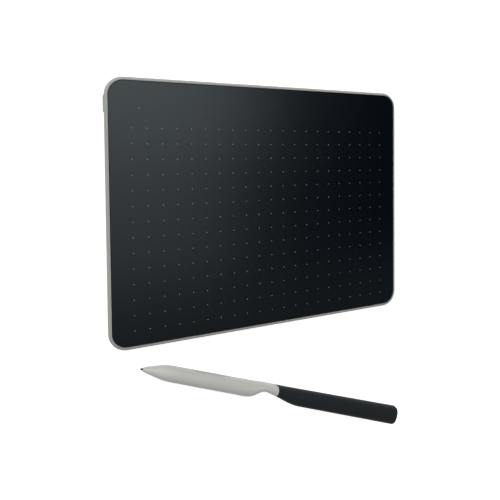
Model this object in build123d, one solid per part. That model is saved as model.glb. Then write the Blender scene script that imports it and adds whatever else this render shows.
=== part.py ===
from build123d import *
import os
from math import cos, pi, sin, sqrt

# Graphics tablet with its pen, in millimetres. The tablet lies flat and the pen lies in front of it.
# The origin is the centre of the tablet's outline, on the desk. +X runs to the right along the long
# side, +Y away from the user towards the indicator, and +Z up out of the drawing surface.

# Drawing surface: a square grid of printed dots and the margins round it
DOT_PITCH = 7.5
DOT_COLUMNS = 21
DOT_ROWS = 14
SIDE_MARGIN = 10.8
FRONT_MARGIN = 7.5
BACK_MARGIN = 22.7
SURFACE_DROP = 0.1
PANEL_GAP = 0.2
SHEET_THICKNESS = 0.4
SHEET_BEVEL = 0.12
PLATE_THICKNESS = 1.0

# Housing
TABLET_HEIGHT = 7.6
RIM_LIP = 1.5
RIM_RADIUS = 1.3
CORNER_RADIUS = 9.0
BEVEL = 4.6
UNDERSIDE_EDGE = 0.8
FLOOR_THICKNESS = 1.6
WALL_THICKNESS = 1.5
LEDGE_WIDTH = 1.4
RIB_THICKNESS = 0.9
RIB_COUNT = 3
RIB_PITCH = 30.0
RIB_GAP = 0.05

# Feet, glued into pockets
FOOT_LENGTH = 22.0
FOOT_WIDTH = 8.0
FOOT_X = 70.0
FOOT_Y = 54.8
FOOT_PROUD = 0.8
FOOT_POCKET = 0.7
FOOT_CLEARANCE = 0.1
FOOT_EDGE = 0.3

# Case screws, driven up from under the two back feet into the pillars of the top plate
SCREW_RADIUS = 0.9
SCREW_HEAD_RADIUS = 1.7
SCREW_HEAD_HEIGHT = 1.2
SCREW_LENGTH = 2.9
SCREW_CLEARANCE = 0.02
SCREW_HEAD_CLEARANCE = 0.15
SCREW_SHANK_CLEARANCE = 0.2
SCREW_HEAD_SEAT = 0.9
DRIVE_RADIUS = 0.95
DRIVE_SIDES = 6
DRIVE_DEPTH = 0.6
BOSS_RADIUS = 2.7
PILLAR_RADIUS = 2.2

# Digitiser board and its shield
SENSOR_MARGIN = 3.5
SENSOR_THICKNESS = 0.8
SENSOR_CORNER = 4.0
SHIELD_THICKNESS = 0.3
SHIELD_INSET = 5.0

# Controller board, on short bosses in the back left corner
BOARD_INSET = 5.0
BOARD_RIGHT = -34.4
BOARD_FRONT = 46.6
BOARD_LIFT = 0.6
BOARD_THICKNESS = 0.8
BOARD_SCREW_PLACES = [(-43.5, 58.2), (-78.0, 48.8)]
BOARD_SCREW_RADIUS = 0.6
BOARD_SCREW_LENGTH = 2.2
BOARD_SCREW_HEAD_RADIUS = 1.2
BOARD_SCREW_HEAD_HEIGHT = 0.6
BOARD_BOSS_RADIUS = 1.8
BOARD_BAY_GAP = 0.5
PROCESSOR_SIZE = (7.0, 6.0, 0.9)
PROCESSOR_PLACE = (-62.5, 54.4)
RADIO_SIZE = (6.4, 5.4, 1.4)
RADIO_PLACE = (-42.0, 53.6)
CHIP_EDGE = 0.25

# Ribbon from the digitiser board to the controller board
RIBBON_X = -49.0
RIBBON_WIDTH = 11.0
RIBBON_THICKNESS = 0.15
RIBBON_OVERLAP = 2.0
RIBBON_BEND = 0.4
RIBBON_SOCKET_DEPTH = 2.2
RIBBON_SOCKET_HEIGHT = 1.0
RIBBON_SOCKET_EXTRA = 1.6
RIBBON_SOCKET_SETBACK = 1.2

# Socket for the charging lead, through the back wall
PORT_X = -52.0
PORT_Z = 4.2
PORT_HOOD_WIDTH = 12.4
PORT_HOOD_HEIGHT = 4.9
PORT_HOOD_SETBACK = 0.1
PORT_HOOD_EDGE = 0.2
PORT_SETBACK = 0.35
SOCKET_WIDTH = 8.94
SOCKET_HEIGHT = 3.16
SOCKET_DEPTH = 7.35
SOCKET_WALL = 0.3
SOCKET_CLEARANCE = 0.18
TONGUE_WIDTH = 6.7
TONGUE_THICKNESS = 0.7
TONGUE_SETBACK = 0.8

# Power button in the left wall, near the back corner, and its side-push switch
BUTTON_FROM_BACK = 12.9
BUTTON_Z = 5.05
BUTTON_LENGTH = 8.0
BUTTON_HEIGHT = 1.4
BUTTON_PROUD = 0.25
BUTTON_CLEARANCE = 0.08
BUTTON_EDGE = 0.22
BUTTON_TRAVEL = 0.3
BUTTON_EAR = 0.8
BUTTON_FLANGE_HEIGHT = 1.1
BUTTON_FLANGE_THICKNESS = 0.8
BUTTON_FLANGE_GAP = 0.1
SWITCH_LENGTH = 4.6
SWITCH_DEPTH = 2.3
SWITCH_HEIGHT = 1.8
PLUNGER_LENGTH = 1.6
PLUNGER_HEIGHT = 0.7
PLUNGER_GRIP = 0.5
PLUNGER_CLEARANCE = 0.05

# Indicator: a small chip and a clear pipe up through the surface
LED_RIGHT_OF_GRID = 3.8
LED_BEHIND_GRID = 9.6
LED_SIZE = (1.6, 0.8, 0.6)
PIPE_RADIUS = 0.45
PIPE_CLEARANCE = 0.05
PIPE_GAP = 0.1

# Battery in the strip behind the digitiser, and its flat lead
BATTERY_LENGTH = 62.0
BATTERY_WIDTH = 13.2
BATTERY_THICKNESS = 3.0
BATTERY_LEFT = -26.0
BATTERY_FRONT = 46.8
BATTERY_EDGE = 0.9
LEAD_WIDTH = 5.0
LEAD_THICKNESS = 0.2
LEAD_HEIGHT = 2.2
LEAD_BEND = 0.5
LEAD_SOCKET_SIZE = (2.6, 6.0, 0.9)

# Pen, measured along its axis from the tip of the nib. Seen from the side its switch is on top.
PEN_LENGTH = 171.5
PEN_WIDTH = 8.0
PEN_TIP_X = -71.86
PEN_TIP_Y = -76.75
PEN_ANGLE = -20.8
CONE_START = 1.2
CONE_TIP_RADIUS = 0.85
NOSE_LENGTH = 16.3
NOSE_WIDTH_LENGTH = 17.0
FRONT_TOP = 4.15
FRONT_BOTTOM = 3.5
JUNCTION_AT = 79.7
JUNCTION_TOP = 4.5
REAR_TOP = 5.4
REAR_BOTTOM = 5.55
SCOOP_DEPTH = 4.45
SCOOP_START = 62.9
SCOOP_MIDDLE = 71.0
SCOOP_END = 97.5
SECTION_POWER = 2.5
SECTION_POINTS = 12
SECTION_SPACING = 5.0
FIT_CLEARANCE = 0.04
END_CAP_LENGTH = 2.3
END_CAP_EDGE = 0.9
END_CAP_STEPS = 2
END_CAP_PLUG = 4.5
GRIP_BORE_START = 95.0
GRIP_BORE_RADIUS = 3.0
TENON_LENGTH = 12.0
TENON_BOTTOM = -0.2
TENON_TOP = 3.3
TENON_WIDTH = 5.6
TENON_CORNER = 1.2

# Side switch: a two-way rocker on a pin, over two small switches on the pen's board
ROCKER_AHEAD = 2.0
ROCKER_LENGTH = 19.0
ROCKER_WIDTH = 4.0
ROCKER_SINK = 0.3
ROCKER_BOTTOM = 2.55
ROCKER_DISH = 0.3
ROCKER_CLEARANCE = 0.2
PIN_RADIUS = 0.5
PIN_SEAT = 0.75
PIN_HEIGHT = 2.7
PIN_CLEARANCE = 0.04
TACT_SPACING = 11.0
TACT_SIZE = (3.0, 2.6)
TACT_HEIGHT = 0.65
TACT_DOME_RADIUS = 0.75
TACT_DOME_HEIGHT = 0.25
TACT_GAP = 0.25

# Inside the pen, from front to back
NIB_RADIUS = 0.5
NIB_LENGTH = 23.5
NIB_CLEARANCE = 0.05
NIB_TRAVEL = 0.3
COIL_BAY_AHEAD = 0.6
COIL_BAY_RADIUS = 2.5
CORE_LENGTH = 8.3
CORE_RADIUS = 1.7
CORE_GAP = 0.4
COIL_SETBACK = 0.8
COIL_LENGTH = 6.0
COIL_RADIUS = 2.3
NIB_IN_HOLDER = 2.6
HOLDER_LENGTH = 3.9
HOLDER_RADIUS = 1.75
PAD_THICKNESS = 0.6
PAD_RADIUS = 1.6
GAUGE_LENGTH = 2.8
GAUGE_RADIUS = 1.9
CAVITY_AHEAD = 1.4
CAVITY_TOP = 2.05
CAVITY_BOTTOM = -2.6
CAVITY_WIDTH = 5.8
CAVITY_CORNER = 1.4
CHASSIS_TOP = 0.4
CHASSIS_GAP = 0.1
PEN_BOARD_GAP = 0.85
PEN_BOARD_LENGTH = 30.6
PEN_BOARD_WIDTH = 5.0
PEN_BOARD_THICKNESS = 0.6

# Worked out from the sizes above
GRID_WIDTH = (DOT_COLUMNS - 1) * DOT_PITCH
GRID_DEPTH = (DOT_ROWS - 1) * DOT_PITCH
FACE_WIDTH = GRID_WIDTH + 2 * SIDE_MARGIN
FACE_DEPTH = GRID_DEPTH + FRONT_MARGIN + BACK_MARGIN
GRID_CENTRE_Y = (FRONT_MARGIN - BACK_MARGIN) / 2
OUTER_WIDTH = FACE_WIDTH + 2 * RIM_LIP
OUTER_DEPTH = FACE_DEPTH + 2 * RIM_LIP
LEFT_EDGE = -OUTER_WIDTH / 2
BACK_EDGE = OUTER_DEPTH / 2
LEDGE_INSET = RIM_LIP + LEDGE_WIDTH

UNDERSIDE = FOOT_PROUD
FLOOR_TOP = UNDERSIDE + FLOOR_THICKNESS
POCKET_TOP = UNDERSIDE + FOOT_POCKET
SHEET_TOP = TABLET_HEIGHT - SURFACE_DROP
SHEET_BOTTOM = SHEET_TOP - SHEET_THICKNESS
LEDGE_TOP = SHEET_BOTTOM - PLATE_THICKNESS
SENSOR_BOTTOM = LEDGE_TOP - SENSOR_THICKNESS
SHIELD_BOTTOM = SENSOR_BOTTOM - SHIELD_THICKNESS
BOARD_BOTTOM = FLOOR_TOP + BOARD_LIFT
BOARD_TOP = BOARD_BOTTOM + BOARD_THICKNESS
SCREW_SEAT = POCKET_TOP + FOOT_CLEARANCE + SCREW_HEAD_HEIGHT
BOSS_TOP = SCREW_SEAT + SCREW_HEAD_SEAT
BUTTON_Y = BACK_EDGE - BUTTON_FROM_BACK
LED_X = LED_RIGHT_OF_GRID - GRID_WIDTH / 2
LED_Y = GRID_CENTRE_Y + GRID_DEPTH / 2 + LED_BEHIND_GRID
SENSOR_BACK = GRID_CENTRE_Y + GRID_DEPTH / 2 + SENSOR_MARGIN
SHIELD_WIDTH = GRID_WIDTH + 2 * SENSOR_MARGIN - 2 * SHIELD_INSET
SHIELD_DEPTH = GRID_DEPTH + 2 * SENSOR_MARGIN - 2 * SHIELD_INSET
FOOT_PLACES = {
    "front_left": (-FOOT_X, -FOOT_Y),
    "front_right": (FOOT_X, -FOOT_Y),
    "back_left": (-FOOT_X, FOOT_Y),
    "back_right": (FOOT_X, FOOT_Y),
}
CASE_SCREW_PLACES = [FOOT_PLACES["back_left"], FOOT_PLACES["back_right"]]

CONE_END = CONE_START + NOSE_LENGTH
HOLDER_START = NIB_LENGTH - NIB_IN_HOLDER
HOLDER_END = HOLDER_START + HOLDER_LENGTH
CORE_START = HOLDER_START - CORE_GAP - CORE_LENGTH
COIL_START = CORE_START + COIL_SETBACK
COIL_BAY_START = CORE_START - COIL_BAY_AHEAD
PAD_START = HOLDER_END + NIB_TRAVEL + NIB_CLEARANCE
GAUGE_START = PAD_START + PAD_THICKNESS
GAUGE_END = GAUGE_START + GAUGE_LENGTH
PEN_BOARD_START = GAUGE_END + PEN_BOARD_GAP
PEN_BOARD_TOP = CHASSIS_TOP + PEN_BOARD_THICKNESS
CAVITY_START = HOLDER_START - CAVITY_AHEAD
CHASSIS_START = CAVITY_START + CHASSIS_GAP
CHASSIS_END = PEN_BOARD_START + PEN_BOARD_LENGTH
CAVITY_END = CHASSIS_END + CHASSIS_GAP
ROCKER_MIDDLE = PEN_BOARD_START - ROCKER_AHEAD + ROCKER_LENGTH / 2
PIN_LENGTH = ROCKER_WIDTH + 2 * PIN_SEAT
GRIP_END = PEN_LENGTH - END_CAP_LENGTH


# Tablet

def slab(sketch, bottom, top):
    """A flat sketch extruded between two heights."""
    return extrude(Pos(0, 0, bottom) * sketch, amount=top - bottom)


def outline(inset):
    """The tablet's rounded rectangle, drawn in from its outermost edge."""
    return RectangleRounded(OUTER_WIDTH - 2 * inset, OUTER_DEPTH - 2 * inset, CORNER_RADIUS - inset)


def post(place, radius, bottom, top):
    """A round post at a place on the plan."""
    return slab(Pos(*place) * Circle(radius), bottom, top)


def block(left, right, front, back, bottom, top):
    """A plain block between six faces."""
    size = (right - left, back - front, top - bottom)
    return Pos((left + right) / 2, (front + back) / 2, (bottom + top) / 2) * Box(*size)


def chip(place, size, bottom):
    """A component on a board, with its top edges broken."""
    body = Pos(place[0], place[1], bottom + size[2] / 2) * Box(*size)
    return chamfer(body.faces().sort_by(Axis.Z)[-1].edges(), min(CHIP_EDGE, size[2] / 3))


def through_back_wall(width, height, front, back):
    """A round-ended bar at the socket's place, along Y."""
    plane = Plane(origin=(PORT_X, front, PORT_Z), x_dir=(1, 0, 0), z_dir=(0, 1, 0))
    return extrude(plane * SlotOverall(width, height), amount=back - front)


def through_left_wall(length, height, left, right):
    """A round-ended bar at the power button's place, along X."""
    plane = Plane(origin=(left, BUTTON_Y, BUTTON_Z), x_dir=(0, 1, 0), z_dir=(1, 0, 0))
    return extrude(plane * SlotOverall(length, height), amount=right - left)


def foot_shape(place, clearance, bottom, top):
    """A foot's or its pocket's round-ended pad."""
    return slab(Pos(*place) * SlotOverall(FOOT_LENGTH + 2 * clearance, FOOT_WIDTH + 2 * clearance), bottom, top)


def make_rear_cover():
    """The light tub: half-round edge, bevelled sides, ledge, ribs, bosses, pockets and cut-outs."""
    body = slab(outline(0), UNDERSIDE, TABLET_HEIGHT)
    body = chamfer(body.faces().sort_by(Axis.Z)[0].edges(), BEVEL)
    body = chamfer(body.faces().sort_by(Axis.Z)[0].edges(), UNDERSIDE_EDGE)
    wall_foot = UNDERSIDE + BEVEL
    at_bevel = [edge for edge in body.edges() if abs(edge.center().Z - wall_foot) < RIM_RADIUS / 10]
    body = fillet(at_bevel + body.faces().sort_by(Axis.Z)[-1].edges(), RIM_RADIUS)
    hood_depth = BEVEL + WALL_THICKNESS
    hood = through_back_wall(
        PORT_HOOD_WIDTH, PORT_HOOD_HEIGHT, BACK_EDGE - hood_depth, BACK_EDGE - PORT_HOOD_SETBACK
    )
    body += chamfer(hood.faces().sort_by(Axis.Y)[-1].edges(), PORT_HOOD_EDGE)

    cavity = slab(outline(LEDGE_INSET), FLOOR_TOP, LEDGE_TOP)
    inner_bevel = BEVEL - FLOOR_THICKNESS + WALL_THICKNESS * sqrt(2) - LEDGE_INSET
    cavity = chamfer(cavity.faces().sort_by(Axis.Z)[0].edges(), inner_bevel)
    body -= cavity
    body -= slab(outline(RIM_LIP), LEDGE_TOP, TABLET_HEIGHT + 1)

    rib_top = SHIELD_BOTTOM - RIB_GAP
    for row in range(RIB_COUNT):
        y = GRID_CENTRE_Y + (row - (RIB_COUNT - 1) / 2) * RIB_PITCH
        body += slab(Pos(0, y) * Rectangle(SHIELD_WIDTH, RIB_THICKNESS), FLOOR_TOP, rib_top)

    for place in CASE_SCREW_PLACES:
        body += post(place, BOSS_RADIUS, FLOOR_TOP, BOSS_TOP)
    for place in BOARD_SCREW_PLACES:
        body += post(place, BOARD_BOSS_RADIUS, FLOOR_TOP, BOARD_BOTTOM)
        screw_end = BOARD_TOP - BOARD_SCREW_LENGTH - SCREW_CLEARANCE
        body -= post(place, BOARD_SCREW_RADIUS + SCREW_CLEARANCE, screw_end, BOARD_BOTTOM)
    for place in FOOT_PLACES.values():
        body -= foot_shape(place, FOOT_CLEARANCE, 0, POCKET_TOP)
    for place in CASE_SCREW_PLACES:
        body -= post(place, SCREW_HEAD_RADIUS + SCREW_HEAD_CLEARANCE, POCKET_TOP, SCREW_SEAT)
        body -= post(place, SCREW_RADIUS + SCREW_SHANK_CLEARANCE, SCREW_SEAT, BOSS_TOP)

    body -= through_back_wall(
        SOCKET_WIDTH + 2 * SOCKET_CLEARANCE,
        SOCKET_HEIGHT + 2 * SOCKET_CLEARANCE,
        BACK_EDGE - hood_depth,
        BACK_EDGE + 1,
    )
    body -= through_left_wall(
        BUTTON_LENGTH + 2 * BUTTON_CLEARANCE,
        BUTTON_HEIGHT + 2 * BUTTON_CLEARANCE,
        LEFT_EDGE - 1,
        LEFT_EDGE + LEDGE_INSET + WALL_THICKNESS,
    )
    return body


def make_top_plate():
    """The moulded plate on the ledge, with its screw pillars and the indicator's hole."""
    plate = slab(outline(RIM_LIP + PANEL_GAP), LEDGE_TOP, SHEET_BOTTOM)
    for place in CASE_SCREW_PLACES:
        plate += post(place, PILLAR_RADIUS, BOSS_TOP, LEDGE_TOP)
        plate -= post(place, SCREW_RADIUS + SCREW_CLEARANCE, BOSS_TOP, LEDGE_TOP)
    return plate - post((LED_X, LED_Y), PIPE_RADIUS + PIPE_CLEARANCE, LEDGE_TOP, SHEET_BOTTOM)


def make_drawing_sheet():
    """The textured sheet glued over the plate."""
    sheet = slab(outline(RIM_LIP + PANEL_GAP), SHEET_BOTTOM, SHEET_TOP)
    sheet = chamfer(sheet.faces().sort_by(Axis.Z)[-1].edges(), SHEET_BEVEL)
    return sheet - post((LED_X, LED_Y), PIPE_RADIUS + PIPE_CLEARANCE, SHEET_BOTTOM, SHEET_TOP)


def make_sensor_board():
    """The digitiser board under the plate."""
    plan = RectangleRounded(GRID_WIDTH + 2 * SENSOR_MARGIN, GRID_DEPTH + 2 * SENSOR_MARGIN, SENSOR_CORNER)
    return slab(Pos(0, GRID_CENTRE_Y) * plan, SENSOR_BOTTOM, LEDGE_TOP)


def make_shield_plate():
    """The thin metal sheet behind the digitiser board."""
    plan = RectangleRounded(SHIELD_WIDTH, SHIELD_DEPTH, SHIELD_INSET / 2)
    return slab(Pos(0, GRID_CENTRE_Y) * plan, SHIELD_BOTTOM, SENSOR_BOTTOM)


def make_controller_board():
    """The controller board, notched for the socket and for a pillar, with holes for its screws."""
    region = block(LEFT_EDGE, BOARD_RIGHT, BOARD_FRONT, BACK_EDGE, BOARD_BOTTOM, BOARD_TOP)
    board = slab(outline(BOARD_INSET), BOARD_BOTTOM, BOARD_TOP) & region
    notch = SOCKET_WIDTH / 2 + 2 * SOCKET_CLEARANCE
    notch_front = BACK_EDGE - PORT_SETBACK - SOCKET_DEPTH - 2 * SOCKET_CLEARANCE
    board -= block(PORT_X - notch, PORT_X + notch, notch_front, BACK_EDGE, 0, LEDGE_TOP)
    bay = BOSS_RADIUS + BOARD_BAY_GAP
    board -= block(-FOOT_X - bay, -FOOT_X + bay, FOOT_Y - bay, BACK_EDGE, 0, LEDGE_TOP)
    for place in BOARD_SCREW_PLACES:
        board -= post(place, BOARD_SCREW_RADIUS + SCREW_SHANK_CLEARANCE, 0, LEDGE_TOP)
    return board


def make_usb_socket():
    """The socket's steel shell and the insulated tongue inside it."""
    mouth = BACK_EDGE - PORT_SETBACK
    back = mouth - SOCKET_DEPTH
    shell = through_back_wall(SOCKET_WIDTH, SOCKET_HEIGHT, back, mouth)
    inner = (SOCKET_WIDTH - 2 * SOCKET_WALL, SOCKET_HEIGHT - 2 * SOCKET_WALL)
    shell -= through_back_wall(*inner, back + SOCKET_WALL, mouth)
    tongue = block(
        PORT_X - TONGUE_WIDTH / 2,
        PORT_X + TONGUE_WIDTH / 2,
        back + SOCKET_WALL,
        mouth - TONGUE_SETBACK,
        PORT_Z - TONGUE_THICKNESS / 2,
        PORT_Z + TONGUE_THICKNESS / 2,
    )
    tongue += through_back_wall(*inner, back + SOCKET_WALL, back + 4 * SOCKET_WALL)
    return {"usb_socket_shell": shell, "usb_socket_tongue": tongue}


def make_flat_lead(points, bend, thickness):
    """The side view of a flat lead: its bent centre line with a thickness."""
    return trace(FilletPolyline(*points, radius=bend), line_width=thickness)


def make_sensor_ribbon():
    """The flat cable between the two boards, and the socket that it ends in."""
    socket_front = BOARD_FRONT + RIBBON_SOCKET_SETBACK
    left = RIBBON_X - RIBBON_WIDTH / 2
    low = BOARD_TOP + RIBBON_SOCKET_HEIGHT / 2
    high = SENSOR_BOTTOM - RIBBON_THICKNESS / 2
    points = [
        (SENSOR_BACK - RIBBON_OVERLAP, high),
        (SENSOR_BACK, high),
        (SENSOR_BACK + 2 * RIBBON_BEND, low),
        (socket_front, low),
    ]
    plane = Plane(origin=(left, 0, 0), x_dir=(0, 1, 0), z_dir=(1, 0, 0))
    ribbon = extrude(plane * make_flat_lead(points, RIBBON_BEND, RIBBON_THICKNESS), amount=RIBBON_WIDTH)
    size = (RIBBON_WIDTH + RIBBON_SOCKET_EXTRA, RIBBON_SOCKET_DEPTH, RIBBON_SOCKET_HEIGHT)
    socket = chip((RIBBON_X, socket_front + RIBBON_SOCKET_DEPTH / 2), size, BOARD_TOP)
    return {"sensor_ribbon": ribbon, "ribbon_connector": socket}


def make_battery():
    """The flat cell, its lead and the socket that the lead ends in."""
    bottom = FLOOR_TOP + RIB_GAP
    cell = block(
        BATTERY_LEFT,
        BATTERY_LEFT + BATTERY_LENGTH,
        BATTERY_FRONT,
        BATTERY_FRONT + BATTERY_WIDTH,
        bottom,
        bottom + BATTERY_THICKNESS,
    )
    cell = fillet(cell.edges().filter_by(Axis.X), BATTERY_EDGE)
    middle = BATTERY_FRONT + BATTERY_WIDTH / 2
    socket_right = BOARD_RIGHT - LEAD_SOCKET_SIZE[0] / 4
    low = BOARD_TOP + LEAD_SOCKET_SIZE[2] / 2
    step = (BATTERY_LEFT - socket_right) / 3
    points = [
        (BATTERY_LEFT, bottom + LEAD_HEIGHT),
        (BATTERY_LEFT - step, bottom + LEAD_HEIGHT),
        (socket_right + step, low),
        (socket_right, low),
    ]
    plane = Plane(origin=(0, middle + LEAD_WIDTH / 2, 0), x_dir=(1, 0, 0), z_dir=(0, -1, 0))
    lead = extrude(plane * make_flat_lead(points, LEAD_BEND, LEAD_THICKNESS), amount=LEAD_WIDTH)
    socket = chip((socket_right - LEAD_SOCKET_SIZE[0] / 2, middle), LEAD_SOCKET_SIZE, BOARD_TOP)
    return {"battery_cell": cell, "battery_lead": lead, "battery_connector": socket}


def make_indicator():
    """The light chip on the board and the clear pipe over it."""
    led = chip((LED_X, LED_Y), LED_SIZE, BOARD_TOP)
    place = (LED_X, LED_Y)
    pipe = post(place, PIPE_RADIUS, BOARD_TOP + LED_SIZE[2] + PIPE_GAP, SHEET_TOP)
    return {"status_led": led, "light_pipe": pipe}


def make_power_button():
    """The power button's cap, the plunger behind it and the switch body on the board."""
    flange_left = LEFT_EDGE + LEDGE_INSET + BUTTON_FLANGE_GAP
    flange_right = flange_left + BUTTON_FLANGE_THICKNESS
    cap = through_left_wall(BUTTON_LENGTH, BUTTON_HEIGHT, LEFT_EDGE - BUTTON_PROUD, flange_left)
    cap = chamfer(cap.faces().sort_by(Axis.X)[0].edges(), BUTTON_EDGE)
    cap_top = BUTTON_Z + BUTTON_HEIGHT / 2
    flange_bottom = cap_top - BUTTON_FLANGE_HEIGHT
    half = BUTTON_LENGTH / 2 + BUTTON_EAR
    cap += block(flange_left, flange_right, BUTTON_Y - half, BUTTON_Y + half, flange_bottom, cap_top)

    body_left = LEFT_EDGE + BOARD_INSET + PLUNGER_CLEARANCE
    plunger_z = cap_top - BUTTON_FLANGE_HEIGHT / 2
    plunger = block(
        flange_right,
        body_left + PLUNGER_GRIP,
        BUTTON_Y - PLUNGER_LENGTH / 2,
        BUTTON_Y + PLUNGER_LENGTH / 2,
        plunger_z - PLUNGER_HEIGHT / 2,
        plunger_z + PLUNGER_HEIGHT / 2,
    )
    bay = PLUNGER_LENGTH / 2 + PLUNGER_CLEARANCE
    bay_height = PLUNGER_HEIGHT / 2 + PLUNGER_CLEARANCE
    body = block(
        body_left,
        body_left + SWITCH_DEPTH,
        BUTTON_Y - SWITCH_LENGTH / 2,
        BUTTON_Y + SWITCH_LENGTH / 2,
        BOARD_TOP,
        BOARD_TOP + SWITCH_HEIGHT,
    )
    bay_right = body_left + PLUNGER_GRIP + BUTTON_TRAVEL + PLUNGER_CLEARANCE
    body -= block(body_left, bay_right, BUTTON_Y - bay, BUTTON_Y + bay, plunger_z - bay_height, plunger_z + bay_height)
    return {"power_button": cap, "power_switch_plunger": plunger, "power_switch_body": body}


def make_case_screws():
    """The two case screws, heads down, each with a six-sided recess."""
    screws = []
    for place in CASE_SCREW_PLACES:
        head_bottom = SCREW_SEAT - SCREW_HEAD_HEIGHT
        screw = post(place, SCREW_HEAD_RADIUS, head_bottom, SCREW_SEAT)
        screw += post(place, SCREW_RADIUS, SCREW_SEAT, SCREW_SEAT + SCREW_LENGTH)
        recess = Pos(*place) * RegularPolygon(DRIVE_RADIUS, DRIVE_SIDES)
        screws.append(screw - slab(recess, head_bottom, head_bottom + DRIVE_DEPTH))
    return Compound(children=screws)


def make_board_screws():
    """The two small screws that hold the controller board."""
    screws = []
    for place in BOARD_SCREW_PLACES:
        screw = post(place, BOARD_SCREW_HEAD_RADIUS, BOARD_TOP, BOARD_TOP + BOARD_SCREW_HEAD_HEIGHT)
        screws.append(screw + post(place, BOARD_SCREW_RADIUS, BOARD_TOP - BOARD_SCREW_LENGTH, BOARD_TOP))
    return Compound(children=screws)


def make_foot(place):
    """A rubber foot, with its lower edge broken."""
    foot = foot_shape(place, 0, 0, POCKET_TOP)
    return chamfer(foot.faces().sort_by(Axis.Z)[0].edges(), FOOT_EDGE)


# Pen. It is built along +X from the tip, with its switch towards +Y and its width along Z.

def ramp(at, start, end):
    """A smooth step from 0 to 1 between two places along the pen."""
    share = min(1, max(0, (at - start) / (end - start)))
    return share * share * (3 - 2 * share)


def swell(at, start, end):
    """A quarter sine from 0 to 1, steep at first, as a pen's nose fills out."""
    return sin(pi / 2 * min(1, max(0, (at - start) / (end - start))))


def climb(at, start, end):
    """A straight rise from 0 to 1."""
    return min(1, max(0, (at - start) / (end - start)))


def pen_top(at):
    """Height of the pen's upper line: the nose, then a slow rise, a little steeper along the grip."""
    nose = CONE_TIP_RADIUS + (FRONT_TOP - CONE_TIP_RADIUS) * swell(at, CONE_START, CONE_END)
    front = (JUNCTION_TOP - FRONT_TOP) * climb(at, CONE_END, JUNCTION_AT)
    return nose + front + (REAR_TOP - JUNCTION_TOP) * climb(at, JUNCTION_AT, PEN_LENGTH)


def pen_bottom(at):
    """Height of the pen's lower line: the belly, less the finger scoop."""
    nose = CONE_TIP_RADIUS + (FRONT_BOTTOM - CONE_TIP_RADIUS) * swell(at, CONE_START, CONE_END)
    belly = nose + (REAR_BOTTOM - FRONT_BOTTOM) * climb(at, CONE_END, PEN_LENGTH)
    scoop = ramp(at, SCOOP_START, SCOOP_MIDDLE) - ramp(at, SCOOP_MIDDLE, SCOOP_END)
    return SCOOP_DEPTH * scoop - belly


def pen_half_width(at):
    """Half the pen's width."""
    fill = swell(at, CONE_START, CONE_START + NOSE_WIDTH_LENGTH)
    return CONE_TIP_RADIUS + (PEN_WIDTH / 2 - CONE_TIP_RADIUS) * fill


def pen_section(at, inset):
    """The pen's cross-section, a soft-cornered oval, as a face square to the axis."""
    half_width = pen_half_width(at) - inset
    half_height = (pen_top(at) - pen_bottom(at)) / 2 - inset
    middle = (pen_top(at) + pen_bottom(at)) / 2
    power = 2 / (2 + (SECTION_POWER - 2) * swell(at, CONE_START, CONE_END))
    points = []
    for step in range(SECTION_POINTS):
        turn = 2 * pi * (step + 0.5) / SECTION_POINTS
        rise = abs(cos(turn)) ** power * (1 if cos(turn) > 0 else -1)
        side = abs(sin(turn)) ** power * (1 if sin(turn) > 0 else -1)
        points.append((at, middle + half_height * rise, half_width * side))
    return Face(Wire([Spline(*points, periodic=True)]))


def pen_form():
    """The pen's whole outer form behind the nib, less its rounded end."""
    length = PEN_LENGTH - END_CAP_EDGE - CONE_START
    steps = round(length / SECTION_SPACING)
    return loft([pen_section(CONE_START + length * step / steps, 0) for step in range(steps + 1)])


def rounded_end():
    """The last stretch of the pen, drawn in along a quarter circle."""
    sections = []
    for step in range(END_CAP_STEPS + 1):
        turn = pi / 2 * step / END_CAP_STEPS
        at = PEN_LENGTH - END_CAP_EDGE * (1 - sin(turn))
        sections.append(pen_section(at, END_CAP_EDGE * (1 - cos(turn))))
    return loft(sections, ruled=True)


def rod(start, end, radius, height=0.0):
    """A round bar along the pen's axis."""
    plane = Plane(origin=(start, height, 0), x_dir=(0, 1, 0), z_dir=(1, 0, 0))
    return extrude(plane * Circle(radius), amount=end - start)


def cross_rod(at, height, radius, length):
    """A round bar across the pen."""
    plane = Plane(origin=(at, height, -length / 2), x_dir=(1, 0, 0), z_dir=(0, 0, 1))
    return extrude(plane * Circle(radius), amount=length)


def pen_slice(start, end):
    """A block wider and higher than the pen, between two places along it."""
    reach = PEN_WIDTH
    return block(start, end, -reach, reach, -reach, reach)


def inner_bar(start, end, inset):
    """The round-cornered bar that the pen's front hollow, and what fills it, are cut to."""
    middle = (CAVITY_TOP + CAVITY_BOTTOM) / 2
    plane = Plane(origin=(start, middle, 0), x_dir=(0, 1, 0), z_dir=(1, 0, 0))
    size = (CAVITY_TOP - CAVITY_BOTTOM - 2 * inset, CAVITY_WIDTH - 2 * inset)
    return extrude(plane * RectangleRounded(*size, CAVITY_CORNER - inset), amount=end - start)


def tenon(clearance):
    """The tongue of the front half inside the rear grip."""
    middle = (TENON_TOP + TENON_BOTTOM) / 2
    plane = Plane(origin=(JUNCTION_AT, middle, 0), x_dir=(0, 1, 0), z_dir=(1, 0, 0))
    height = TENON_TOP - TENON_BOTTOM + 2 * clearance
    sketch = RectangleRounded(height, TENON_WIDTH + 2 * clearance, TENON_CORNER)
    return extrude(plane * sketch, amount=TENON_LENGTH + clearance)


def rocker_bar(bottom, clearance):
    """The round-ended bar that the side switch and its slot are cut to."""
    plane = Plane(origin=(ROCKER_MIDDLE, bottom, 0), x_dir=(1, 0, 0), z_dir=(0, 1, 0))
    sketch = SlotOverall(ROCKER_LENGTH + 2 * clearance, ROCKER_WIDTH + 2 * clearance)
    return extrude(plane * sketch, amount=PEN_WIDTH)


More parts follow.
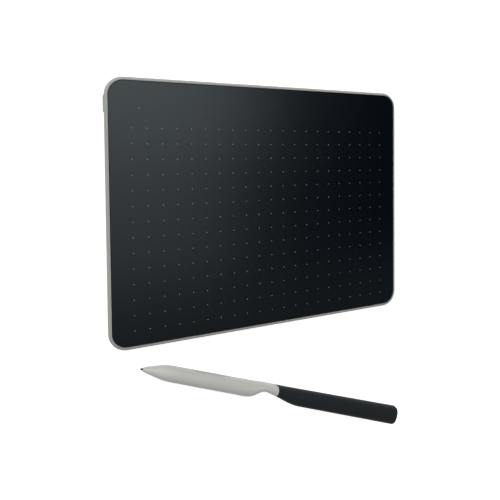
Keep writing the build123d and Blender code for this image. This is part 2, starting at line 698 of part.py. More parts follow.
def make_pen_shells(whole):
    """The left half of the grey front, hollowed for what it closes round, and its mirror image."""
    reach = PEN_WIDTH
    left = split(whole & pen_slice(0, JUNCTION_AT), bisect_by=Plane.XY, keep=Keep.TOP)
    left -= rod(0, COIL_BAY_START, NIB_RADIUS + NIB_CLEARANCE)
    left -= rod(COIL_BAY_START, CAVITY_START, COIL_BAY_RADIUS)
    left -= inner_bar(CAVITY_START, CAVITY_END, 0)
    left -= rocker_bar(CHASSIS_TOP, ROCKER_CLEARANCE)
    left -= cross_rod(ROCKER_MIDDLE, PIN_HEIGHT, PIN_RADIUS + PIN_CLEARANCE, PIN_LENGTH + PIN_CLEARANCE)
    left += tenon(0) & block(0, PEN_LENGTH, -reach, reach, 0, reach)
    return {"pen_shell_left": left, "pen_shell_right": mirror(left, Plane.XY)}


def make_pen_rear(whole):
    """The black grip, hollow behind the tenon, and the cap that closes its end."""
    grip = whole & pen_slice(JUNCTION_AT, GRIP_END)
    grip -= tenon(FIT_CLEARANCE)
    grip -= rod(GRIP_BORE_START, GRIP_END, GRIP_BORE_RADIUS)
    cap = whole & pen_slice(GRIP_END, PEN_LENGTH)
    cap += rounded_end()
    cap += rod(GRIP_END - END_CAP_PLUG, GRIP_END, GRIP_BORE_RADIUS - FIT_CLEARANCE)
    return {"pen_rear_grip": grip, "pen_end_cap": cap}


def make_nib():
    """The nib with its rounded point, and the holder that carries its tail."""
    nib = rod(0, NIB_LENGTH, NIB_RADIUS)
    nib = fillet(nib.faces().sort_by(Axis.X)[0].edges(), NIB_RADIUS * 0.9)
    holder = rod(HOLDER_START, HOLDER_END, HOLDER_RADIUS)
    holder -= rod(HOLDER_START, NIB_LENGTH, NIB_RADIUS)
    return {"pen_nib": nib, "pen_nib_holder": holder}


def make_coil():
    """The ferrite core round the nib and the winding on it."""
    bore = rod(CORE_START, CORE_START + CORE_LENGTH, NIB_RADIUS + 2 * NIB_CLEARANCE)
    core = rod(CORE_START, CORE_START + CORE_LENGTH, CORE_RADIUS) - bore
    coil_end = COIL_START + COIL_LENGTH
    winding = rod(COIL_START, coil_end, COIL_RADIUS) - rod(COIL_START, coil_end, CORE_RADIUS)
    return {"pen_coil_core": core, "pen_coil_winding": winding}


def make_pressure_gauge():
    """The pressure sensor and the rubber pad that the holder presses on."""
    pad = rod(PAD_START, GAUGE_START, PAD_RADIUS)
    gauge = rod(GAUGE_START, GAUGE_END, GAUGE_RADIUS)
    return {"pen_return_pad": pad, "pen_pressure_sensor": gauge}


def make_side_switch(whole):
    """The rocker, its pin and the two small switches under it."""
    rocker = rocker_bar(ROCKER_BOTTOM, 0) & (Pos(0, -ROCKER_SINK, 0) * whole)
    dish_radius = (ROCKER_LENGTH / 2) ** 2 / (2 * ROCKER_DISH)
    surface = pen_top(ROCKER_MIDDLE) - ROCKER_SINK
    dish = cross_rod(ROCKER_MIDDLE, surface - ROCKER_DISH + dish_radius, dish_radius, PEN_WIDTH)
    rocker -= dish
    rocker -= cross_rod(ROCKER_MIDDLE, PIN_HEIGHT, PIN_RADIUS + PIN_CLEARANCE, PEN_WIDTH)
    pieces = {"pen_switch_pin": cross_rod(ROCKER_MIDDLE, PIN_HEIGHT, PIN_RADIUS, PIN_LENGTH)}
    dome_top = PEN_BOARD_TOP + TACT_HEIGHT + TACT_DOME_HEIGHT
    for name, side in (("pen_tact_front", -1), ("pen_tact_rear", 1)):
        at = ROCKER_MIDDLE + side * TACT_SPACING / 2
        base = Plane(origin=(at, PEN_BOARD_TOP, 0), x_dir=(1, 0, 0), z_dir=(0, 1, 0))
        tact = extrude(base * Rectangle(*TACT_SIZE), amount=TACT_HEIGHT)
        tact += extrude(base * Circle(TACT_DOME_RADIUS), amount=TACT_HEIGHT + TACT_DOME_HEIGHT)
        pieces[name] = tact
        half = TACT_DOME_RADIUS
        rocker += block(at - half, at + half, dome_top + TACT_GAP, ROCKER_BOTTOM + ROCKER_DISH, -half, half)
    pieces["pen_side_switch"] = rocker
    return pieces


def make_pen_board():
    """The pen's circuit board and the chassis that cradles everything behind the coil."""
    half = PEN_BOARD_WIDTH / 2
    board = block(PEN_BOARD_START, CHASSIS_END, CHASSIS_TOP, PEN_BOARD_TOP, -half, half)
    reach = PEN_WIDTH
    chassis = inner_bar(CHASSIS_START, CHASSIS_END, CHASSIS_GAP)
    chassis &= block(CHASSIS_START, CHASSIS_END, -reach, CHASSIS_TOP, -reach, reach)
    chassis -= rod(CHASSIS_START, PAD_START, HOLDER_RADIUS + CHASSIS_GAP)
    chassis -= rod(PAD_START, GAUGE_END, GAUGE_RADIUS)
    return {"pen_board": board, "pen_chassis": chassis}


pieces = {
    "rear_cover": make_rear_cover(),
    "top_plate": make_top_plate(),
    "drawing_sheet": make_drawing_sheet(),
    "sensor_board": make_sensor_board(),
    "shield_plate": make_shield_plate(),
    "controller_board": make_controller_board(),
    "processor_chip": chip(PROCESSOR_PLACE, PROCESSOR_SIZE, BOARD_TOP),
    "radio_module": chip(RADIO_PLACE, RADIO_SIZE, BOARD_TOP),
    "case_screws": make_case_screws(),
    "board_screws": make_board_screws(),
}
for make in (make_usb_socket, make_sensor_ribbon, make_battery, make_indicator, make_power_button):
    pieces.update(make())
for corner, place in FOOT_PLACES.items():
    pieces["rubber_foot_" + corner] = make_foot(place)

whole_pen = pen_form()
pen_pieces = {}
for make in (make_pen_shells, make_pen_rear, make_side_switch):
    pen_pieces.update(make(whole_pen))
for make in (make_nib, make_coil, make_pressure_gauge, make_pen_board):
    pen_pieces.update(make())
resting_height = -whole_pen.bounding_box().min.Z
pen_place = Location((PEN_TIP_X, PEN_TIP_Y, resting_height), (0, 0, PEN_ANGLE))
for name, piece in pen_pieces.items():
    pieces[name] = pen_place * piece

os.makedirs("parts", exist_ok=True)
for name, piece in pieces.items():
    export_step(piece, "parts/" + name + ".step")
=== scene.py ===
from math import radians

import bpy
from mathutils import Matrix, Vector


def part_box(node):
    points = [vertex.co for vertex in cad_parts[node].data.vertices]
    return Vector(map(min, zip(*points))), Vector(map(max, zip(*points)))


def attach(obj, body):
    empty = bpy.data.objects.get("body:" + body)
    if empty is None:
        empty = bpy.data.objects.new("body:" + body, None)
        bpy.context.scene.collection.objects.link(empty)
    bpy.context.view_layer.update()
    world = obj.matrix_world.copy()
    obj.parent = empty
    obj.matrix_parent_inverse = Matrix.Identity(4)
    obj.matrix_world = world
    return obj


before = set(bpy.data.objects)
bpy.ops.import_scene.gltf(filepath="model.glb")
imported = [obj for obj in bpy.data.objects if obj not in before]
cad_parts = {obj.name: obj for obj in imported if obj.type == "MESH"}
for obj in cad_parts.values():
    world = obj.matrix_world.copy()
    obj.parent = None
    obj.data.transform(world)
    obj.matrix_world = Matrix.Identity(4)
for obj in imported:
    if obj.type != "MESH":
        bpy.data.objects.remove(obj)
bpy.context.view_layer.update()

bl_info = {
    "name": "Graphics tablet and pen",
    "version": (1, 0, 0),
    "blender": (4, 5, 0),
    "location": "View3D > Sidebar > Tablet",
    "description": "Finishes a slim drawing tablet and its pen, and sets them on a white floor",
    "category": "Object",
}

# The box of the sheet under the dots
sheet_low, sheet_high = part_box("drawing_sheet")

WHITE = (1, 1, 1, 1)

# Corners nearer than this are joined, and edges sharper than this stay sharp
WELD_DISTANCE = 0.000002
CREASE_ANGLE = radians(32)

# Grains to the metre, soft clouds to the metre, and the fine grain's share in the soft shade
GRAIN_FINENESS = 4000.0
GRAIN_CLOUDINESS = 60.0
FINE_SHARE = 0.35

# The middle of a noise's range
NOISE_MIDDLE = 0.5

# How far roughness strays, and handled patches to the metre
HANDLING_DRIFT = 0.06
HANDLING_SPREAD = 35.0

# Printed dots: how many, how far apart, how wide and how thick, and the sides of one dot
DOT_COLUMNS = 21
DOT_ROWS = 14
DOT_PITCH = 0.0075
DOT_WIDTH = 0.00056
INK_THICKNESS = 0.000012
DOT_SIDES = 12

# The floor's half width, and its lift to white: at these distances from the middle, these levels
FLOOR_HALF = 4.0
LIFT_DISTANCES = (0.4, 2.0)
LIFT_LEVELS = (0.85, 1.0)

# Walls that fade to a ceiling, once for soft light and once for glosses: the sines of the angles
# above the horizon that the fade lies between, and the light of the wall and of the ceiling
SOFT_HEIGHTS = (0.08, 0.35)
SOFT_LIGHT = (0.2, 0.08)
GLOSS_HEIGHTS = (0.0, 0.25)
GLOSS_LIGHT = (1.0, 0.0)

# Lamps that face straight down: name, place, width and length, and the setting with their power
OVERHEAD_LAMPS = (
    ("overhead", (-0.017, 0.5485, 1.0), (0.86, 1.65), "key_strength"),
    ("overhead_back", (0.0375, 0.721, 1.01), (0.97, 1.31), "key_strength"),
    ("front", (0.0, -1.65, 1.0), (3.0, 2.7), "front_strength"),
)
# Lamps that face the object and shape its edges, in the same order of values
SIDE_LAMPS = (
    ("left", (-0.8, 1.05, 0.8), (0.8, 0.8), "left_strength"),
    ("fill", (0.2, -1.25, 0.5), (1.0, 1.0), "fill_strength"),
)

# The camera's sensor, in millimetres, and the nearest distance it sees
SENSOR_WIDTH = 36.0
NEAREST_SEEN = 0.01


# Nodes

def add_sockets(tree, inputs, outputs):
    """Gives a node tree its named inputs, with their defaults, and its outputs."""
    for name, kind, default in inputs:
        socket = tree.interface.new_socket(name=name, in_out="INPUT", socket_type=kind)
        if default is not None:
            socket.default_value = default
    for name, kind in outputs:
        tree.interface.new_socket(name=name, in_out="OUTPUT", socket_type=kind)


def new_node(tree, kind, place, **settings):
    """A node at a place in the tree, with its settings."""
    node = tree.nodes.new(kind)
    node.location = place
    for name, value in settings.items():
        setattr(node, name, value)
    return node


def set_inputs(node, values):
    """Sets a node's inputs, given by their names."""
    for name, value in values.items():
        node.inputs[name].default_value = value


def calculated(tree, operation, place, *terms):
    """What an operation gives for terms that are numbers or the outputs of other nodes."""
    node = new_node(tree, "ShaderNodeMath", place, operation=operation)
    for socket, term in zip(node.inputs, terms):
        if isinstance(term, (int, float)):
            socket.default_value = term
        else:
            tree.links.new(term, socket)
    return node.outputs["Value"]


def faded(tree, value, place, span, levels):
    """A level that eases from the first to the second as a value crosses a span."""
    node = new_node(tree, "ShaderNodeMapRange", place, interpolation_type="SMOOTHSTEP")
    names = ("From Min", "From Max", "To Min", "To Max")
    set_inputs(node, dict(zip(names, (*span, *levels))))
    tree.links.new(value, node.inputs["Value"])
    return node.outputs["Result"]


# Finishes

def grain_group():
    """Moulded grain: a fine height and a soft shade, both from the position on the piece."""
    found = bpy.data.node_groups.get("moulded_grain")
    if found:
        return found
    tree = bpy.data.node_groups.new("moulded_grain", "ShaderNodeTree")
    add_sockets(
        tree,
        [
            ("Position", "NodeSocketVector", None),
            ("Fineness", "NodeSocketFloat", GRAIN_FINENESS),
            ("Cloudiness", "NodeSocketFloat", GRAIN_CLOUDINESS),
        ],
        [("Height", "NodeSocketFloat"), ("Shade", "NodeSocketFloat")],
    )
    inside = new_node(tree, "NodeGroupInput", (-600, 0))
    outside = new_node(tree, "NodeGroupOutput", (400, 0))
    fine = new_node(tree, "ShaderNodeTexNoise", (-300, 160))
    set_inputs(fine, {"Detail": 3.0, "Roughness": 0.6})
    cloud = new_node(tree, "ShaderNodeTexNoise", (-300, -160))
    set_inputs(cloud, {"Detail": 2.0})
    for noise, scale in ((fine, "Fineness"), (cloud, "Cloudiness")):
        tree.links.new(inside.outputs["Position"], noise.inputs["Vector"])
        tree.links.new(inside.outputs[scale], noise.inputs["Scale"])
    shade = calculated(
        tree, "MULTIPLY_ADD", (100, -160), fine.outputs["Fac"], FINE_SHARE, cloud.outputs["Fac"],
    )
    tree.links.new(fine.outputs["Fac"], outside.inputs["Height"])
    tree.links.new(shade, outside.inputs["Shade"])
    return tree


def handling_group():
    """Handling marks: a roughness that drifts a little over the piece."""
    found = bpy.data.node_groups.get("handling_marks")
    if found:
        return found
    tree = bpy.data.node_groups.new("handling_marks", "ShaderNodeTree")
    add_sockets(
        tree,
        [
            ("Position", "NodeSocketVector", None),
            ("Roughness", "NodeSocketFloat", 0.5),
            ("Drift", "NodeSocketFloat", HANDLING_DRIFT),
            ("Spread", "NodeSocketFloat", HANDLING_SPREAD),
        ],
        [("Roughness", "NodeSocketFloat")],
    )
    inside = new_node(tree, "NodeGroupInput", (-700, 0))
    outside = new_node(tree, "NodeGroupOutput", (400, 0))
    patches = new_node(tree, "ShaderNodeTexNoise", (-450, 120))
    set_inputs(patches, {"Detail": 4.0, "Distortion": 0.6})
    tree.links.new(inside.outputs["Position"], patches.inputs["Vector"])
    tree.links.new(inside.outputs["Spread"], patches.inputs["Scale"])
    centred = calculated(tree, "SUBTRACT", (-200, 120), patches.outputs["Fac"], NOISE_MIDDLE)
    drifted = calculated(
        tree, "MULTIPLY_ADD", (0, 0), centred, inside.outputs["Drift"], inside.outputs["Roughness"],
    )
    tree.links.new(drifted, outside.inputs["Roughness"])
    return tree


def moulded(name, colour, roughness, grain=0.00001, fineness=GRAIN_FINENESS, mottle=0.04,
            drift=HANDLING_DRIFT, metal=0.0, shine=None):
    """A moulded or plated finish: mottled colour, drifting roughness and fine grain.

    grain is how high the grain stands, and fineness how many grains there are to the metre.
    mottle and drift are how far the colour and the roughness stray. shine holds any other inputs
    of the shader, which are the same all over the piece.
    """
    material = bpy.data.materials.new(name)
    material.use_nodes = True
    tree = material.node_tree
    tree.nodes.clear()
    place = new_node(tree, "ShaderNodeTexCoord", (-900, 0))
    grained = new_node(tree, "ShaderNodeGroup", (-650, 150), node_tree=grain_group())
    set_inputs(grained, {"Fineness": fineness})
    handled = new_node(tree, "ShaderNodeGroup", (-650, -150), node_tree=handling_group())
    set_inputs(handled, {"Roughness": roughness, "Drift": drift})
    for node in (grained, handled):
        tree.links.new(place.outputs["Object"], node.inputs["Position"])
    tint = new_node(tree, "ShaderNodeMix", (-350, 250), data_type="RGBA")
    for socket, share in (("A", 1 - mottle), ("B", 1 + mottle)):
        tint.inputs[socket].default_value = (*[min(1, part * share) for part in colour[:3]], 1)
    tree.links.new(grained.outputs["Shade"], tint.inputs["Factor"])
    bump = new_node(tree, "ShaderNodeBump", (-350, -200))
    set_inputs(bump, {"Strength": 1.0, "Distance": grain})
    tree.links.new(grained.outputs["Height"], bump.inputs["Height"])
    shader = new_node(tree, "ShaderNodeBsdfPrincipled", (0, 0))
    set_inputs(shader, {"Metallic": metal, **(shine or {})})
    tree.links.new(tint.outputs["Result"], shader.inputs["Base Color"])
    tree.links.new(handled.outputs["Roughness"], shader.inputs["Roughness"])
    tree.links.new(bump.outputs["Normal"], shader.inputs["Normal"])
    output = new_node(tree, "ShaderNodeOutputMaterial", (300, 0))
    tree.links.new(shader.outputs["BSDF"], output.inputs["Surface"])
    return material


def dress(material, *nodes):
    """Gives CAD nodes their finish, and shades their curves smoothly up to their creases."""
    for node in nodes:
        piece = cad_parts[node]
        piece.data.materials.clear()
        piece.data.materials.append(material)
        for face in piece.data.polygons:
            face.use_smooth = True
        joined = piece.modifiers.new("joined", "WELD")
        joined.merge_threshold = WELD_DISTANCE
        creases = piece.modifiers.new("creases", "EDGE_SPLIT")
        creases.split_angle = CREASE_ANGLE


# What a user would change

class TabletFinish(bpy.types.PropertyGroup):
    """Colours and finish of the tablet."""
    housing_colour: bpy.props.FloatVectorProperty(
        name="Housing", description="Light grey of the housing",
        default=(0.39, 0.39, 0.362), subtype="COLOR", size=3, min=0, max=1,
    )
    button_colour: bpy.props.FloatVectorProperty(
        name="Button", description="Grey of the power button",
        default=(0.40, 0.40, 0.37), subtype="COLOR", size=3, min=0, max=1,
    )
    sheet_colour: bpy.props.FloatVectorProperty(
        name="Sheet", description="Black of the drawing surface",
        default=(0.0002, 0.0015, 0.0045), subtype="COLOR", size=3, min=0, max=1,
    )
    sheet_roughness: bpy.props.FloatProperty(
        name="Sheet roughness", description="How widely the surface spreads a reflection",
        default=0.28, subtype="FACTOR", min=0, max=1,
    )
    foot_colour: bpy.props.FloatVectorProperty(
        name="Feet", description="Dark grey of the rubber feet",
        default=(0.045, 0.045, 0.045), subtype="COLOR", size=3, min=0, max=1,
    )


class DotGridSizes(bpy.types.PropertyGroup):
    """The printed dots on the drawing surface."""
    columns: bpy.props.IntProperty(
        name="Columns", description="Dots from left to right", default=DOT_COLUMNS, min=2,
    )
    rows: bpy.props.IntProperty(
        name="Rows", description="Dots from front to back", default=DOT_ROWS, min=2,
    )
    pitch: bpy.props.FloatProperty(
        name="Pitch", description="Distance between neighbouring dots",
        default=DOT_PITCH, unit="LENGTH", min=0.001,
    )
    front_margin: bpy.props.FloatProperty(
        name="Front margin", description="From the front row to the edge of the sheet",
        default=0.0073, unit="LENGTH", min=0,
    )
    dot_width: bpy.props.FloatProperty(
        name="Dot width", description="Diameter of one dot",
        default=DOT_WIDTH, unit="LENGTH", min=0.0001,
    )
    ink_thickness: bpy.props.FloatProperty(
        name="Ink thickness", description="Height of a dot above the surface",
        default=INK_THICKNESS, unit="LENGTH", min=0,
    )
    ink_colour: bpy.props.FloatVectorProperty(
        name="Ink", description="Grey of the dots",
        default=(0.197, 0.219, 0.224), subtype="COLOR", size=3, min=0, max=1,
    )


class PenFinish(bpy.types.PropertyGroup):
    """Colours of the pen."""
    front_colour: bpy.props.FloatVectorProperty(
        name="Front", description="Silver grey of the pen's front half",
        default=(0.595, 0.599, 0.56), subtype="COLOR", size=3, min=0, max=1,
    )
    # The switch's grey is set darker than the front's as painted shade, standing in for the shadow
    # in the thin gap around the switch
    switch_colour_painted_shade: bpy.props.FloatVectorProperty(
        name="Side switch", description="Grey of the side switch, a little darker than the front",
        default=(0.50, 0.505, 0.475), subtype="COLOR", size=3, min=0, max=1,
    )
    rear_colour: bpy.props.FloatVectorProperty(
        name="Rear", description="Black of the pen's rear half",
        default=(0.0215, 0.026, 0.0285), subtype="COLOR", size=3, min=0, max=1,
    )
    nib_colour: bpy.props.FloatVectorProperty(
        name="Nib", description="Black of the nib",
        default=(0.02, 0.02, 0.02), subtype="COLOR", size=3, min=0, max=1,
    )


class StudioSetting(bpy.types.PropertyGroup):
    """Camera, lamps and floor."""
    camera_place: bpy.props.FloatVectorProperty(
        name="Camera place", description="Where the camera stands",
        default=(-0.1261, 0.02515, 0.24245), subtype="TRANSLATION", size=3, unit="LENGTH",
    )
    camera_turn: bpy.props.FloatVectorProperty(
        name="Camera turn", description="Turn from looking straight down",
        default=(radians(-1.5306), radians(-25.7824), radians(-0.6312)),
        subtype="EULER", size=3, unit="ROTATION",
    )
    camera_lens: bpy.props.FloatProperty(
        name="Lens", description="Focal length on a 36 mm sensor, in millimetres",
        default=35.367, min=1,
    )
    camera_shift: bpy.props.FloatProperty(
        name="Shift", description="Upward shift of the frame, as a share of its width",
        default=-0.1482,
    )
    key_strength: bpy.props.FloatProperty(
        name="Overhead lamps", description="Power of each of the two soft lamps overhead",
        default=2.93, min=0, unit="POWER",
    )
    front_strength: bpy.props.FloatProperty(
        name="Front lamp", description="Power of the wide, dim lamp over the user",
        default=3.14, min=0, unit="POWER",
    )
    left_strength: bpy.props.FloatProperty(
        name="Left lamp", description="Power of the lamp at the back left",
        default=15.5, min=0, unit="POWER",
    )
    fill_strength: bpy.props.FloatProperty(
        name="Fill lamp", description="Power of the low lamp at the front",
        default=1.7, min=0, unit="POWER",
    )
    floor_colour: bpy.props.FloatVectorProperty(
        name="Floor", description="White of the floor",
        default=(0.5, 0.5, 0.5), subtype="COLOR", size=3, min=0, max=1,
    )


# The tablet

class FinishHousing(bpy.types.Operator):
    """Finishes the housing, its button and its feet"""
    bl_idname = "tablet.finish_housing"
    bl_label = "Finish housing"

    def execute(self, context):
        finish = context.scene.tablet_finish
        housing = moulded(
            "housing_grey", finish.housing_colour, roughness=0.55, grain=0.000012, mottle=0.025,
        )
        button = moulded(
            "button_grey", finish.button_colour, roughness=0.45, grain=0.000006, mottle=0.02,
        )
        rubber = moulded(
            "foot_rubber", finish.foot_colour, roughness=0.75, grain=0.00003, fineness=2500.0,
        )
        dress(housing, "rear_cover")
        dress(button, "power_button")
        for corner in ("front_left", "front_right", "back_left", "back_right"):
            dress(rubber, "rubber_foot_" + corner)
        return {"FINISHED"}


class FinishSheet(bpy.types.Operator):
    """Finishes the black drawing surface, the plate under it and the indicator's light pipe"""
    bl_idname = "tablet.finish_sheet"
    bl_label = "Finish drawing surface"

    def execute(self, context):
        finish = context.scene.tablet_finish
        sheet = moulded(
            "sheet_black", finish.sheet_colour, finish.sheet_roughness, grain=0.000004,
            fineness=6000.0, mottle=0.05, drift=0.03,
            shine={"Specular Tint": (0.88, 1.0, 1.015, 1.0), "Specular IOR Level": 0.7},
        )
        plate = moulded("plate_black", (0.012, 0.012, 0.013), roughness=0.55)
        pipe = moulded(
            "pipe_clear", (0.135, 0.14, 0.14), roughness=0.3, grain=0.000002, mottle=0.01,
        )
        dress(sheet, "drawing_sheet")
        dress(plate, "top_plate")
        dress(pipe, "light_pipe")
        return {"FINISHED"}


def dot_grid_tree():
    """Geometry nodes that set one flat disc on each crossing of a square grid."""
    tree = bpy.data.node_groups.new("dot_grid", "GeometryNodeTree")
    add_sockets(
        tree,
        [
            ("Geometry", "NodeSocketGeometry", None),
            ("Columns", "NodeSocketInt", DOT_COLUMNS),
            ("Rows", "NodeSocketInt", DOT_ROWS),
            ("Pitch", "NodeSocketFloat", DOT_PITCH),
            ("Disc Radius", "NodeSocketFloat", DOT_WIDTH / 2),
            ("Disc Depth", "NodeSocketFloat", 2 * INK_THICKNESS),
            ("Centre", "NodeSocketVector", None),
            ("Ink", "NodeSocketMaterial", None),
        ],
        [("Geometry", "NodeSocketGeometry")],
    )
    inside = new_node(tree, "NodeGroupInput", (-900, 0))
    outside = new_node(tree, "NodeGroupOutput", (900, 0))
    grid = new_node(tree, "GeometryNodeMeshGrid", (-200, 200))
    for name, axis, height in (("Columns", "X", 300), ("Rows", "Y", 100)):
        spaces = calculated(tree, "SUBTRACT", (-650, height), inside.outputs[name], 1)
        span = calculated(tree, "MULTIPLY", (-450, height), spaces, inside.outputs["Pitch"])
        tree.links.new(span, grid.inputs["Size " + axis])
        tree.links.new(inside.outputs[name], grid.inputs["Vertices " + axis])
    disc = new_node(tree, "GeometryNodeMeshCylinder", (-200, -150))
    set_inputs(disc, {"Vertices": DOT_SIDES})
    spread = new_node(tree, "GeometryNodeInstanceOnPoints", (50, 100))
    realized = new_node(tree, "GeometryNodeRealizeInstances", (250, 100))
    placed = new_node(tree, "GeometryNodeTransform", (450, 100))
    inked = new_node(tree, "GeometryNodeSetMaterial", (650, 100))
    for source, target in (
        (inside.outputs["Disc Radius"], disc.inputs["Radius"]),
        (inside.outputs["Disc Depth"], disc.inputs["Depth"]),
        (grid.outputs["Mesh"], spread.inputs["Points"]),
        (disc.outputs["Mesh"], spread.inputs["Instance"]),
        (spread.outputs["Instances"], realized.inputs["Geometry"]),
        (realized.outputs["Geometry"], placed.inputs["Geometry"]),
        (inside.outputs["Centre"], placed.inputs["Translation"]),
        (placed.outputs["Geometry"], inked.inputs["Geometry"]),
        (inside.outputs["Ink"], inked.inputs["Material"]),
        (inked.outputs["Geometry"], outside.inputs["Geometry"]),
    ):
        tree.links.new(source, target)
    return tree


def grown(name, tree, values):
    """A plain mesh piece made by a geometry node tree with these values."""
    seed = bpy.data.objects.new(name + "_seed", bpy.data.meshes.new(name + "_seed"))
    bpy.context.scene.collection.objects.link(seed)
    modifier = seed.modifiers.new(name, "NODES")
    modifier.node_group = tree
    for item in tree.interface.items_tree:
        if item.in_out == "INPUT" and item.name in values:
            modifier[item.identifier] = values[item.name]
    bpy.context.view_layer.update()
    evaluated = seed.evaluated_get(bpy.context.evaluated_depsgraph_get())
    mesh = bpy.data.meshes.new_from_object(evaluated)
    bpy.data.objects.remove(seed)
    if not mesh.polygons:
        raise RuntimeError(name + " came out empty")
    mesh.name = name
    piece = bpy.data.objects.new(name, mesh)
    bpy.context.scene.collection.objects.link(piece)
    return piece


class PrintDots(bpy.types.Operator):
    """Prints the grid of dots on the drawing surface"""
    bl_idname = "tablet.print_dots"
    bl_label = "Print dots"

    def execute(self, context):
        sizes = context.scene.dot_grid
        middle = sheet_low.y + sizes.front_margin + (sizes.rows - 1) * sizes.pitch / 2
        # Half of each disc lies in the sheet, so a disc is twice as deep as its ink is thick
        grid = grown("dot_grid", dot_grid_tree(), {
            "Columns": sizes.columns,
            "Rows": sizes.rows,
            "Pitch": sizes.pitch,
            "Disc Radius": sizes.dot_width / 2,
            "Disc Depth": 2 * sizes.ink_thickness,
            "Centre": (0, middle, sheet_high.z),
            "Ink": moulded(
                "dot_ink", sizes.ink_colour, roughness=0.5, grain=0.000002, mottle=0.05,
            ),
        })
        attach(grid, "tablet")
        return {"FINISHED"}


class FinishInside(bpy.types.Operator):
    """Finishes the boards, the battery, the screws and the other pieces inside"""
    bl_idname = "tablet.finish_inside"
    bl_label = "Finish inside"

    def execute(self, context):
        board = moulded("board_green", (0.015, 0.07, 0.04), roughness=0.35, mottle=0.2)
        steel = moulded(
            "plated_steel", (0.55, 0.55, 0.56), roughness=0.32, metal=1.0, mottle=0.05,
        )
        black = moulded("package_black", (0.02, 0.02, 0.021), roughness=0.5)
        white = moulded("connector_white", (0.62, 0.60, 0.55), roughness=0.5)
        film = moulded("ribbon_amber", (0.42, 0.18, 0.04), roughness=0.3, mottle=0.1)
        pouch = moulded(
            "battery_foil", (0.55, 0.55, 0.56), roughness=0.4, metal=1.0, grain=0.00004,
            fineness=800.0,
        )
        copper = moulded(
            "winding_copper", (0.75, 0.32, 0.14), roughness=0.3, metal=1.0, grain=0.00004,
            fineness=3000.0,
        )
        ferrite = moulded("ferrite", (0.05, 0.05, 0.055), roughness=0.45)
        rubber = moulded("soft_rubber", (0.03, 0.03, 0.03), roughness=0.7)
        lamp = moulded("lamp_white", (0.75, 0.74, 0.62), roughness=0.3)

        dress(board, "sensor_board", "controller_board", "pen_board")
        dress(
            steel, "shield_plate", "case_screws", "board_screws", "usb_socket_shell",
            "radio_module", "pen_switch_pin", "pen_pressure_sensor", "pen_tact_front",
            "pen_tact_rear",
        )
        dress(
            black, "processor_chip", "usb_socket_tongue", "power_switch_body", "pen_chassis",
            "pen_nib_holder",
        )
        dress(white, "ribbon_connector", "battery_connector", "power_switch_plunger")
        dress(film, "sensor_ribbon")
        dress(pouch, "battery_cell")
        dress(copper, "pen_coil_winding")
        dress(ferrite, "pen_coil_core")
        dress(rubber, "battery_lead", "pen_return_pad")
        dress(lamp, "status_led")
        return {"FINISHED"}


# The pen

class FinishPen(bpy.types.Operator):
    """Finishes the pen's front, side switch, rear, cap and nib"""
    bl_idname = "tablet.finish_pen"
    bl_label = "Finish pen"

    def execute(self, context):
        finish = context.scene.pen_finish
        silver = moulded(
            "pen_silver", finish.front_colour, roughness=0.35, grain=0.000006, mottle=0.02,
        )
        black = moulded(
            "pen_black", finish.rear_colour, roughness=0.60, grain=0.000006, mottle=0.05,
            shine={"Specular IOR Level": 0.08},
        )
        # The side switch gets a grey darkened below the front's as painted shade for the shadowed
        # gap around it
        switch = moulded(
            "switch_grey", finish.switch_colour_painted_shade, roughness=0.45, grain=0.000006, mottle=0.02,
        )
        nib = moulded("nib_black", finish.nib_colour, roughness=0.35)
        dress(silver, "pen_shell_left", "pen_shell_right")
        dress(switch, "pen_side_switch")
        dress(black, "pen_rear_grip", "pen_end_cap")
        dress(nib, "pen_nib")
        return {"FINISHED"}


# The studio

def soft_lamp(name, place, size, power):
    """A rectangular soft lamp that faces straight down."""
    data = bpy.data.lights.new(name, "AREA")
    data.shape = "RECTANGLE"
    data.size, data.size_y = size
    data.energy = power
    lamp = bpy.data.objects.new(name, data)
    lamp.location = place
    bpy.context.scene.collection.objects.link(lamp)
    return lamp


def floor_material(colour):
    """White floor that shows shadows, lifted to white where the camera or a gloss sees it.

    The lift grows with distance, so the far floor runs into the white beyond it.
    """
    material = bpy.data.materials.new("floor_white")
    material.use_nodes = True
    tree = material.node_tree
    shader = tree.nodes["Principled BSDF"]
    set_inputs(shader, {
        "Base Color": (*colour, 1),
        "Roughness": 0.9,
        "Specular IOR Level": 0.0,
        "Emission Color": WHITE,
    })
    rays = new_node(tree, "ShaderNodeLightPath", (-800, -200)).outputs
    seen = calculated(tree, "MAXIMUM", (-600, -200), rays["Is Camera Ray"], rays["Is Glossy Ray"])
    shown = calculated(tree, "MAXIMUM", (-400, -200), seen, rays["Is Transmission Ray"])
    place = new_node(tree, "ShaderNodeTexCoord", (-800, -550))
    distance = new_node(tree, "ShaderNodeVectorMath", (-600, -550), operation="LENGTH")
    tree.links.new(place.outputs["Object"], distance.inputs[0])
    level = faded(tree, distance.outputs["Value"], (-400, -550), LIFT_DISTANCES, LIFT_LEVELS)
    lift = calculated(tree, "MULTIPLY", (-200, -200), shown, level)
    tree.links.new(lift, shader.inputs["Emission Strength"])
    return material


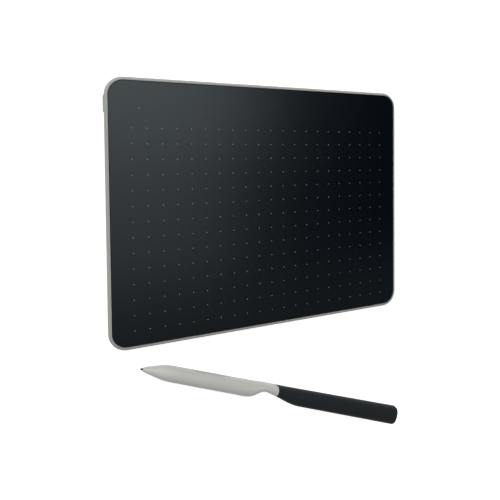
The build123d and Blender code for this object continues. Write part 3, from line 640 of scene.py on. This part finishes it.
def studio_world():
    """A sky that lights softly from dim walls and a dimmer ceiling, and is white to the camera.

    A gloss sees white walls that fade to a black ceiling.
    """
    world = bpy.data.worlds.new("studio")
    world.use_nodes = True
    tree = world.node_tree
    background = tree.nodes["Background"]
    set_inputs(background, {"Color": WHITE})
    direction = new_node(tree, "ShaderNodeTexCoord", (-800, 0))
    split = new_node(tree, "ShaderNodeSeparateXYZ", (-600, 0))
    tree.links.new(direction.outputs["Generated"], split.inputs["Vector"])
    soft = faded(tree, split.outputs["Z"], (-400, 300), SOFT_HEIGHTS, SOFT_LIGHT)
    gloss = faded(tree, split.outputs["Z"], (-400, 0), GLOSS_HEIGHTS, GLOSS_LIGHT)
    rays = new_node(tree, "ShaderNodeLightPath", (-800, -350)).outputs
    mirrored = calculated(
        tree, "MAXIMUM", (-600, -350), rays["Is Glossy Ray"], rays["Is Transmission Ray"],
    )
    walls = new_node(tree, "ShaderNodeMix", (-200, -100), data_type="FLOAT")
    for socket, source in (("Factor", mirrored), ("A", soft), ("B", gloss)):
        tree.links.new(source, walls.inputs[socket])
    seen = calculated(tree, "MAXIMUM", (0, -250), walls.outputs["Result"], rays["Is Camera Ray"])
    tree.links.new(seen, background.inputs["Strength"])
    return world


class SetStage(bpy.types.Operator):
    """Sets the floor, the lamps and the camera"""
    bl_idname = "tablet.set_stage"
    bl_label = "Set stage"

    def execute(self, context):
        scene = context.scene
        studio = scene.studio
        scene.view_settings.view_transform = "Standard"
        scene.world = studio_world()

        mesh = bpy.data.meshes.new("floor")
        corners = [
            (x * FLOOR_HALF, y * FLOOR_HALF, 0) for x, y in ((-1, -1), (1, -1), (1, 1), (-1, 1))
        ]
        mesh.from_pydata(corners, [], [(0, 1, 2, 3)])
        mesh.materials.append(floor_material(studio.floor_colour))
        floor = bpy.data.objects.new("floor", mesh)
        scene.collection.objects.link(floor)

        for name, place, size, setting in OVERHEAD_LAMPS:
            soft_lamp(name, place, size, getattr(studio, setting))
        for name, place, size, setting in SIDE_LAMPS:
            lamp = soft_lamp(name, place, size, getattr(studio, setting))
            lamp.rotation_euler = (-lamp.location).to_track_quat("-Z", "Y").to_euler()
            # So that it leaves no glare on the flat black surface
            lamp.visible_glossy = False

        data = bpy.data.cameras.new("camera")
        data.lens = studio.camera_lens
        data.sensor_width = SENSOR_WIDTH
        data.shift_y = studio.camera_shift
        data.clip_start = NEAREST_SEEN
        camera = bpy.data.objects.new("camera", data)
        camera.location = studio.camera_place
        camera.rotation_euler = studio.camera_turn
        scene.collection.objects.link(camera)
        scene.camera = camera
        return {"FINISHED"}


# The add-on

STEPS = (FinishHousing, FinishSheet, PrintDots, FinishInside, FinishPen, SetStage)
GROUPS = {
    "tablet_finish": TabletFinish,
    "dot_grid": DotGridSizes,
    "pen_finish": PenFinish,
    "studio": StudioSetting,
}


class TabletPanel(bpy.types.Panel):
    """Lists the steps and what they take"""
    bl_idname = "VIEW3D_PT_tablet"
    bl_label = "Graphics tablet"
    bl_space_type = "VIEW_3D"
    bl_region_type = "UI"
    bl_category = "Tablet"

    def draw(self, context):
        for group in GROUPS:
            settings = getattr(context.scene, group)
            box = self.layout.box()
            for name in settings.bl_rna.properties.keys():
                if name not in ("rna_type", "name"):
                    box.prop(settings, name)
        for step in STEPS:
            self.layout.operator(step.bl_idname)


def register():
    for group in GROUPS.values():
        bpy.utils.register_class(group)
    for name, group in GROUPS.items():
        setattr(bpy.types.Scene, name, bpy.props.PointerProperty(type=group))
    for step in (*STEPS, TabletPanel):
        bpy.utils.register_class(step)


def unregister():
    for step in (TabletPanel, *reversed(STEPS)):
        bpy.utils.unregister_class(step)
    for name, group in GROUPS.items():
        delattr(bpy.types.Scene, name)
        bpy.utils.unregister_class(group)


def main():
    register()
    bpy.ops.tablet.finish_housing()
    bpy.ops.tablet.finish_sheet()
    bpy.ops.tablet.print_dots()
    bpy.ops.tablet.finish_inside()
    bpy.ops.tablet.finish_pen()
    bpy.ops.tablet.set_stage()


if __name__ == "__main__":
    main()
